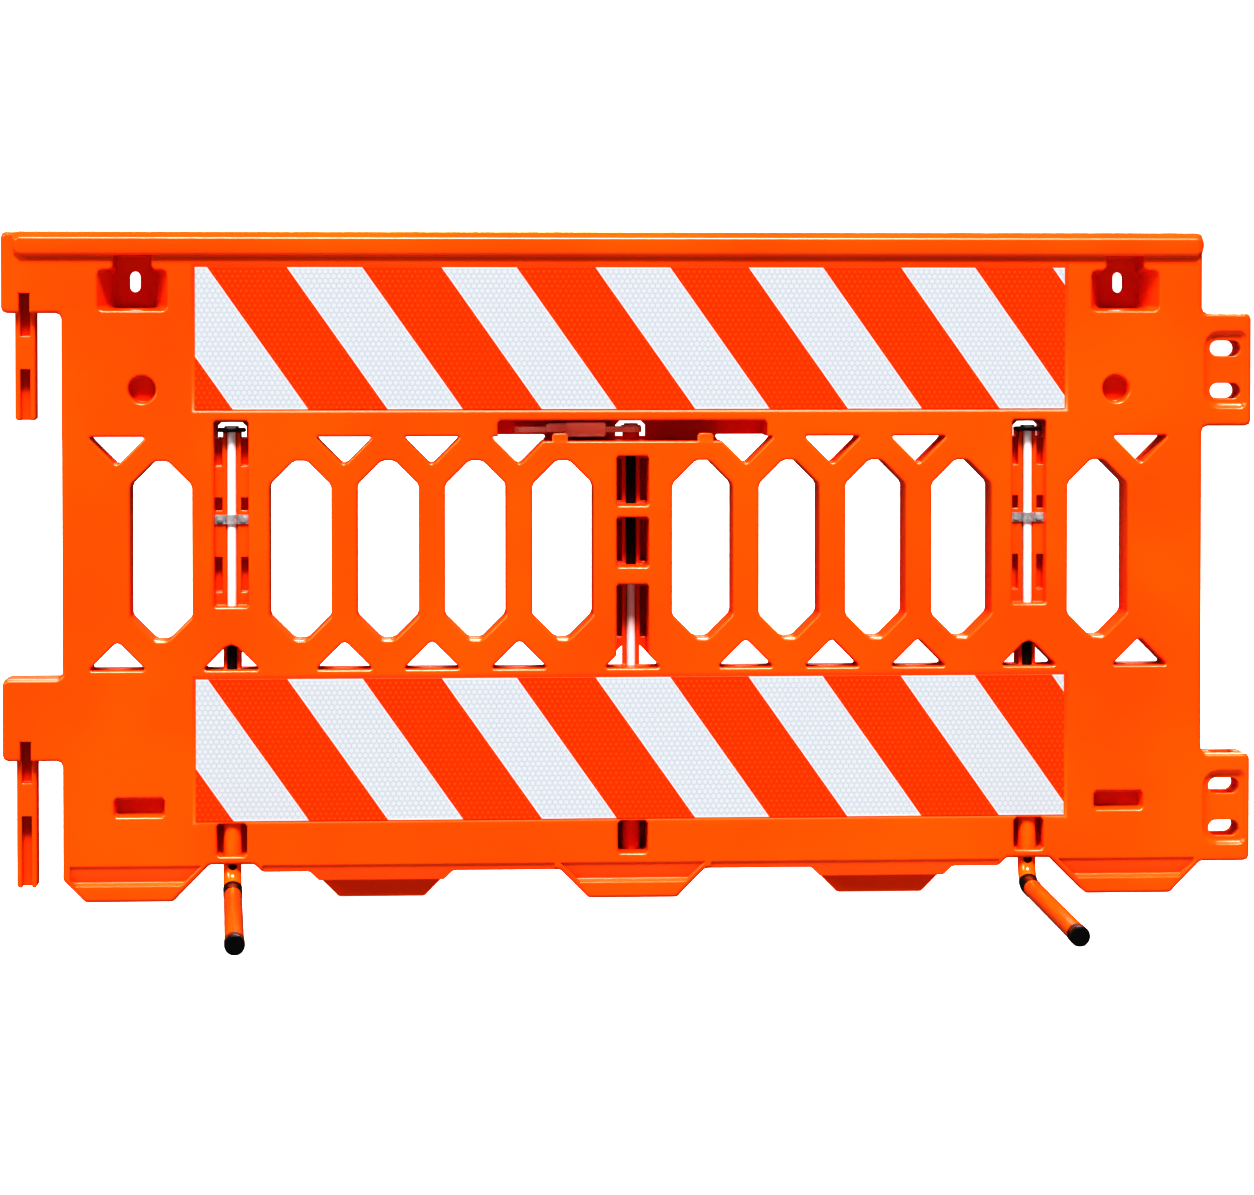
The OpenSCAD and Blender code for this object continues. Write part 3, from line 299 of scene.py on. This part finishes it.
# Both rows fold on to one height, measured from the middle of the nearer row
lower_row = add_node(tree, "Math", {"operation": "LESS_THAN"}, {
    0: axes.outputs["Z"], 1: sum(row_middles) / 2})
middle = add_node(tree, "MapRange", {}, {
    "Value": lower_row.outputs[0], "To Min": row_middles[0], "To Max": row_middles[1]})
height = add_node(tree, "Math", {"operation": "SUBTRACT"}, {
    0: axes.outputs["Z"], 1: middle.outputs["Result"]})
lean = add_node(tree, "Math", {"operation": "MULTIPLY_ADD"}, {
    0: height.outputs[0], 1: STRIPE_RUN_MM * MM / sheet_h, 2: axes.outputs["X"]})
white_start = sheet_low.x + (STRIPE_START_MM + STRIPE_RUN_MM / 2 + STRIPE_W_MM) * MM
along = add_node(tree, "Math", {"operation": "SUBTRACT"}, {0: lean.outputs[0], 1: white_start})
along = add_node(tree, "Math", {"operation": "WRAP"}, {
    0: along.outputs[0], 1: STRIPE_PITCH_MM * MM, 2: 0.0})
white_w = (STRIPE_PITCH_MM - STRIPE_W_MM) * MM
far_side = add_node(tree, "Math", {"operation": "SUBTRACT"}, {0: white_w, 1: along.outputs[0]})
side = add_node(tree, "Math", {"operation": "MINIMUM"}, {
    0: along.outputs[0], 1: far_side.outputs[0]})
level = add_node(tree, "Math", {"operation": "ABSOLUTE"}, {0: height.outputs[0]})
rim = add_node(tree, "Math", {"operation": "SUBTRACT"}, {0: sheet_h / 2, 1: level.outputs[0]})
inside = add_node(tree, "Math", {"operation": "MINIMUM"}, {0: side.outputs[0], 1: rim.outputs[0]})
sealed = add_node(tree, "MapRange", {"interpolation_type": "SMOOTHSTEP"}, {
    "Value": inside.outputs[0], "From Min": SEAL_MM * MM * 0.8, "From Max": SEAL_MM * MM * 1.2})
cells = add_node(tree, "Mix", {"data_type": "RGBA"}, {
    "Factor": cell.outputs["Result"], 6: linear("#9ca1a6"), 7: linear("#aaacb0")})
tone = add_node(tree, "Mix", {"data_type": "RGBA"}, {
    "Factor": sealed.outputs["Result"], 6: linear("#b3b5b7"), 7: cells.outputs[2]})
tree.links.new(tone.outputs[2], shader.inputs["Base Color"])
seam_bump = add_node(tree, "Bump", {}, {
    "Height": cell.outputs["Result"], "Strength": 0.3, "Distance": 0.3 * MM})
tree.links.new(seam_bump.outputs["Normal"], shader.inputs["Normal"])
print(white_film.name, f"stripes every {STRIPE_PITCH_MM} mm, sheet {sheet_h / MM:.0f} mm high")

# %% [markdown]
# ## Orange overlay
# The stripes are a clear orange film laid over the white one. The cells below show through it as
# slightly lighter spots, so the same honeycomb shifts its colour a little.

# %% Finish of the orange overlay
orange_film, tree, shader = new_finish(
    "prismatic_film_orange", IOR=1.49, Roughness=0.25, Specular_IOR_Level=0.25)
place = add_node(tree, "TexCoord", {}, {}).outputs["Object"]
spot = add_node(tree, "MapRange", {"interpolation_type": "SMOOTHSTEP"}, {
    "Value": honeycomb(tree, place), "From Min": 0.2, "From Max": 0.45})
tone = add_node(tree, "Mix", {"data_type": "RGBA"}, {
    "Factor": spot.outputs["Result"], 6: linear("#e83c02"), 7: linear("#f05604")})
tree.links.new(tone.outputs[2], shader.inputs["Base Color"])
print(orange_film.name, "with", len(tree.nodes), "nodes")

# %% Dress the sheeting
for name, piece in nodes.items():
    if name.endswith("_sheet") or name.endswith("_stripes"):
        piece.data.materials.clear()
        piece.data.materials.append(white_film if name.endswith("_sheet") else orange_film)
        print("sheeting on", name)

# %% [markdown]
# ## Powder-coated steel
# The leg tubes are steel tube, bent cold and powder-coated to match the board. The baked powder
# flows into a glossy skin with a slight orange-peel ripple a few millimetres across, which shows
# in the reflections along the tube.

# %% Finish of the leg tubes
PEEL_MM = 3.0

tube_coat, tree, shader = new_finish(
    "powder_coated_steel_orange", IOR=1.5, Roughness=0.2, Coat_Weight=0.25, Coat_Roughness=0.06)
place = add_node(tree, "TexCoord", {}, {}).outputs["Object"]
peel = add_node(tree, "TexNoise", {}, {"Vector": place, "Scale": 1 / (PEEL_MM * MM), "Detail": 0.0})
peel_tint = add_node(tree, "Mix", {"data_type": "RGBA"}, {
    "Factor": peel.outputs["Fac"], 6: linear("#f05a00"), 7: linear("#f86600")})
tree.links.new(peel_tint.outputs[2], shader.inputs["Base Color"])
peel_bump = add_node(tree, "Bump", {}, {
    "Height": peel.outputs["Fac"], "Strength": 0.08, "Distance": 0.2 * MM})
tree.links.new(peel_bump.outputs["Normal"], shader.inputs["Normal"])
tree.links.new(peel_bump.outputs["Normal"], shader.inputs["Coat Normal"])
print(tube_coat.name)

# %% [markdown]
# ## Zinc-plated and galvanised steel
# The rods, nuts and the swing bar are plated with zinc, which keeps the faint drawn lines of the
# bar stock along its length. Bright zinc would be fully metallic, but these pieces look pale and
# dull, so their metallic value is low. Each rod is pale in one part and black in another: its
# colour changes at a set height from dull zinc to black, and this black is painted shade. The
# straps were dipped in molten zinc, which sets in flat crystals called spangle, each with its own
# grey.

# %% Finishes of the bare metal
DRAWN_MM = 0.9
SPANGLE_MM = 6.0
DRAWN_STRETCH = (1, 1, 0.03)
DULL_METALLIC = 0.25
SHADED_FOOT_TOP_MM = 385
SHADED_HEAD_BASE_MM = 452

zinc_plate, tree, shader = new_finish("dull_zinc_plate", Metallic=DULL_METALLIC, Roughness=0.5)
place = add_node(tree, "TexCoord", {}, {}).outputs["Object"]
stretched = add_node(tree, "Mapping", {}, {"Vector": place, "Scale": DRAWN_STRETCH})
lines = add_node(tree, "TexNoise", {}, {
    "Vector": stretched.outputs["Vector"], "Scale": 1 / (DRAWN_MM * MM), "Detail": 1.0})
plate_tone = add_node(tree, "Mix", {"data_type": "RGBA"}, {
    "Factor": lines.outputs["Fac"], 6: linear("#dfe1e3"), 7: linear("#f4f5f6")})
tree.links.new(plate_tone.outputs[2], shader.inputs["Base Color"])
line_bump = add_node(tree, "Bump", {}, {
    "Height": lines.outputs["Fac"], "Strength": 0.05, "Distance": 0.1 * MM})
tree.links.new(line_bump.outputs["Normal"], shader.inputs["Normal"])


def rod_with_painted_shade(name, edge_z, black_above):
    """Dull zinc plate with black painted shade on one end, up to or down to the height edge_z."""
    rod, rod_tree, rod_shader = new_finish(name, Roughness=0.5)
    rod_place = add_node(rod_tree, "TexCoord", {}, {}).outputs["Object"]
    rod_height = add_node(rod_tree, "SeparateXYZ", {}, {"Vector": rod_place}).outputs["Z"]
    bare_side = "LESS_THAN" if black_above else "GREATER_THAN"
    bare = add_node(rod_tree, "Math", {"operation": bare_side}, {0: rod_height, 1: edge_z})
    rod_stretched = add_node(rod_tree, "Mapping", {}, {"Vector": rod_place, "Scale": DRAWN_STRETCH})
    rod_lines = add_node(rod_tree, "TexNoise", {}, {
        "Vector": rod_stretched.outputs["Vector"], "Scale": 1 / (DRAWN_MM * MM), "Detail": 1.0})
    bright = add_node(rod_tree, "Mix", {"data_type": "RGBA"}, {
        "Factor": rod_lines.outputs["Fac"], 6: linear("#dfe1e3"), 7: linear("#f4f5f6")})
    # Beyond edge_z the rod is coloured black: painted shade, standing in for the shade the rod lies
    # in
    tone = add_node(rod_tree, "Mix", {"data_type": "RGBA"}, {
        "Factor": bare.outputs[0], 6: linear("#060606"), 7: bright.outputs[2]})
    rod_tree.links.new(tone.outputs[2], rod_shader.inputs["Base Color"])
    metal = add_node(rod_tree, "Math", {"operation": "MULTIPLY"}, {
        0: bare.outputs[0], 1: DULL_METALLIC})
    rod_tree.links.new(metal.outputs[0], rod_shader.inputs["Metallic"])
    return rod


# Front rods get black painted shade below the foot height, the middle rod above the head height
front_rod_finish = rod_with_painted_shade(
    "zinc_rod_painted_shade_foot", edge_z=SHADED_FOOT_TOP_MM * MM, black_above=False)
middle_rod_finish = rod_with_painted_shade(
    "zinc_rod_painted_shade_head", edge_z=SHADED_HEAD_BASE_MM * MM, black_above=True)

galvanised, tree, shader = new_finish("hot_dip_galvanised_steel", Metallic=0.6, Roughness=0.42)
place = add_node(tree, "TexCoord", {}, {}).outputs["Object"]
spangle = add_node(tree, "TexVoronoi", {}, {"Vector": place, "Scale": 1 / (SPANGLE_MM * MM)})
grey = add_node(tree, "SeparateColor", {}, {"Color": spangle.outputs["Color"]})
spangle_tone = add_node(tree, "Mix", {"data_type": "RGBA"}, {
    "Factor": grey.outputs["Red"], 6: linear("#a2a6a9"), 7: linear("#c9cccd")})
tree.links.new(spangle_tone.outputs[2], shader.inputs["Base Color"])
print(zinc_plate.name, "and", galvanised.name)

# %% [markdown]
# ## Black and white plastic
# The end caps, the sleeves on the bends and the discs on the front rods are black moulded plastic,
# and the grip of the swing bar is white nylon. Black pieces show themselves almost only by their
# gloss, so their roughness varies slightly with a fine grain, as a mould's spark texture gives it.

# %% Finishes of the small mouldings
SPARK_MM = 1.5

black_plastic, tree, shader = new_finish("moulded_black_plastic", IOR=1.5, Specular_IOR_Level=0.5)
place = add_node(tree, "TexCoord", {}, {}).outputs["Object"]
spark = add_node(tree, "TexNoise", {}, {
    "Vector": place, "Scale": 1 / (SPARK_MM * MM), "Detail": 2.0})
black_tone = add_node(tree, "Mix", {"data_type": "RGBA"}, {
    "Factor": spark.outputs["Fac"], 6: linear("#0c0c0d"), 7: linear("#1b1b1d")})
tree.links.new(black_tone.outputs[2], shader.inputs["Base Color"])
gloss = add_node(tree, "MapRange", {}, {
    "Value": spark.outputs["Fac"], "To Min": 0.22, "To Max": 0.36})
tree.links.new(gloss.outputs["Result"], shader.inputs["Roughness"])

white_nylon, tree, shader = new_finish("moulded_white_nylon", IOR=1.53, Roughness=0.4)
place = add_node(tree, "TexCoord", {}, {}).outputs["Object"]
spark = add_node(tree, "TexNoise", {}, {
    "Vector": place, "Scale": 1 / (SPARK_MM * MM), "Detail": 2.0})
white_tone = add_node(tree, "Mix", {"data_type": "RGBA"}, {
    "Factor": spark.outputs["Fac"], 6: linear("#eeeeea"), 7: linear("#f8f8f6")})
tree.links.new(white_tone.outputs[2], shader.inputs["Base Color"])
print(black_plastic.name, "and", white_nylon.name)

# %% [markdown]
# ## Dress the legs and hardware
# These CAD nodes already have their right shape, so they only get their finish. Which finish a
# node takes follows from the last words of its name. The rods and the discs on the front rods are
# the exceptions, and are named one by one.

# %% Dress the remaining nodes
finish_of = {
    "leg_tube": tube_coat, "leg_sleeve": black_plastic, "leg_cap": black_plastic,
    "bar_grip": white_nylon, "rod_strap": galvanised, "strap_screws": galvanised,
    "pivot_rod": zinc_plate, "rod_plug": zinc_plate, "cross_pin": zinc_plate,
    "top_washer": zinc_plate, "top_nut": zinc_plate, "swing_bar": zinc_plate,
}
for name, piece in nodes.items():
    for ending, finish in finish_of.items():
        if name.endswith(ending):
            piece.data.materials.clear()
            piece.data.materials.append(finish)
own_finish = {
    "left_pivot_rod": front_rod_finish, "right_pivot_rod": front_rod_finish,
    "centre_pivot_rod": middle_rod_finish,
    "left_top_washer": black_plastic, "right_top_washer": black_plastic,
}
for name, finish in own_finish.items():
    nodes[name].data.materials[0] = finish
print(sum(name.endswith(tuple(finish_of)) for name in nodes), "pieces of hardware dressed")

# %% [markdown]
# ## Floor and light
# The photograph is a plain catalogue picture on white, with strong contrast and no shadow. So the
# floor is white paper that glows a little, as on a light table. Two soft boxes side by side, high
# in front, make the thin bright lines along every level edge from one end of the panel to the
# other. A weaker one at the left lights the walls that face it, and one behind lights the back. The
# dim room adds a little light from below, so that hollows stay deep red.

# %% Pale floor
FLOOR_GAP_MM = 0.2

floor_mesh = bpy.data.meshes.new("studio_floor")
floor_shape = bmesh.new()
bmesh.ops.create_grid(floor_shape, x_segments=1, y_segments=1, size=20)
floor_shape.to_mesh(floor_mesh)
floor_shape.free()
floor = bpy.data.objects.new("studio_floor", floor_mesh)
bpy.context.scene.collection.objects.link(floor)
floor.location.z = cad_box[0][2] - FLOOR_GAP_MM * MM
floor_paper, tree, shader = new_finish(
    "lit_paper_floor", Roughness=0.9, IOR=1.45, Emission_Strength=0.6)
shader.inputs["Base Color"].default_value = linear("#f3f3f2")
shader.inputs["Emission Color"].default_value = linear("#ffffff")
floor_mesh.materials.append(floor_paper)
floor.visible_diffuse = False
floor.visible_glossy = False
print(f"floor at {floor.location.z / MM:.1f} mm")

# %% Studio light
def far_box(name, azimuth, elevation, spread, strength):
    """A far soft box: a sun lamp of a wide angle, placed by compass angle and height in degrees."""
    data = bpy.data.lights.new(name, "SUN")
    data.energy = strength
    data.angle = math.radians(spread)
    lamp = bpy.data.objects.new(name, data)
    lamp.rotation_euler = (math.radians(90 - elevation), 0, math.radians(azimuth))
    bpy.context.scene.collection.objects.link(lamp)
    return lamp


far_box("front_box_left", azimuth=-6, elevation=56, spread=16, strength=2.45)
far_box("front_box_right", azimuth=10, elevation=56, spread=16, strength=2.45)
far_box("side_box", azimuth=-62, elevation=30, spread=30, strength=1.5)
far_box("rear_box", azimuth=172, elevation=44, spread=30, strength=4.0)

world = bpy.data.worlds.new("studio")
world.use_nodes = True
room_tree = world.node_tree
room = room_tree.nodes["Background"]
# Soft light comes up from the floor and less of it down from the ceiling
ray = add_node(room_tree, "TexCoord", {}, {}).outputs["Generated"]
upward = add_node(room_tree, "SeparateXYZ", {}, {"Vector": ray}).outputs["Z"]
fill = add_node(room_tree, "MapRange", {"interpolation_type": "SMOOTHSTEP"}, {
    "Value": upward, "From Min": -0.75, "From Max": -0.25, "To Min": 1.3, "To Max": 0.08})
path_kind = add_node(room_tree, "LightPath", {}, {})
strength = add_node(room_tree, "Mix", {"data_type": "FLOAT"}, {
    "Factor": path_kind.outputs["Is Glossy Ray"], 2: fill.outputs["Result"], 3: 0.04})
room_tree.links.new(strength.outputs[0], room.inputs["Strength"])
room.inputs["Color"].default_value = linear("#ffffff")
# The paper behind the object is white, but too far away to light it
paper = add_node(room_tree, "Background", {}, {"Color": linear("#ffffff"), "Strength": 1.0})
seen = path_kind.outputs["Is Camera Ray"]
both = add_node(room_tree, "MixShader", {}, {0: seen, 1: room.outputs[0], 2: paper.outputs[0]})
room_tree.links.new(both.outputs[0], room_tree.nodes["World Output"].inputs["Surface"])
bpy.context.scene.world = world
bpy.context.scene.view_settings.view_transform = "Standard"
bpy.context.scene.view_settings.look = "Very High Contrast"
print("four far soft boxes in a dim room")
